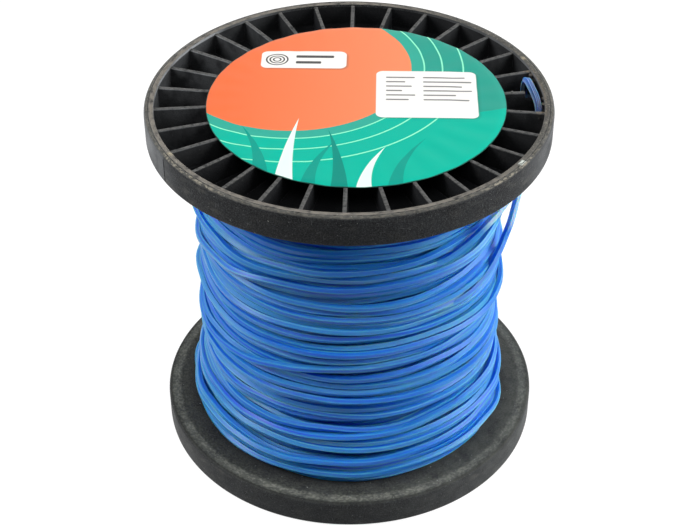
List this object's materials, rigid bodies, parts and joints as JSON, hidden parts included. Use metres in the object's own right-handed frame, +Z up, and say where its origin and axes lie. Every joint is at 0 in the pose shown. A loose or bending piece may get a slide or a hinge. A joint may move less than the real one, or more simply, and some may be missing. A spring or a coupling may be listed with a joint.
{
  "type": "trimmer line spool",
  "caption": "Flanged black plastic spool with ribbed ends and a spindle bore, wound with blue nylon trimmer line whose end is threaded through the upper flange; a round label covers its top.",
  "frame": {"origin": "centre of the lower flange's open edge, on which the spool stands", "axes": "+Z up along the spindle bore to the labelled flange; -Y to the front; +X to the side where the line's end goes through the upper flange"},
  "size_m": [0.125, 0.125, 0.122],
  "materials": {
    "spool_plastic": "recycled black plastic, dusty and scuffed along its edges",
    "label_film": "printed self-adhesive film, glossy",
    "nylon_line": "translucent blue extruded nylon, satin gloss"
  },
  "bodies": {
    "root": {"upper_flange": "spool_plastic", "lower_flange": "spool_plastic", "drum": "spool_plastic", "label": "label_film", "line_start": "nylon_line", "line_bulk": "nylon_line", "line_turns": "nylon_line", "line_end": "nylon_line"}
  },
  "joints": []
}
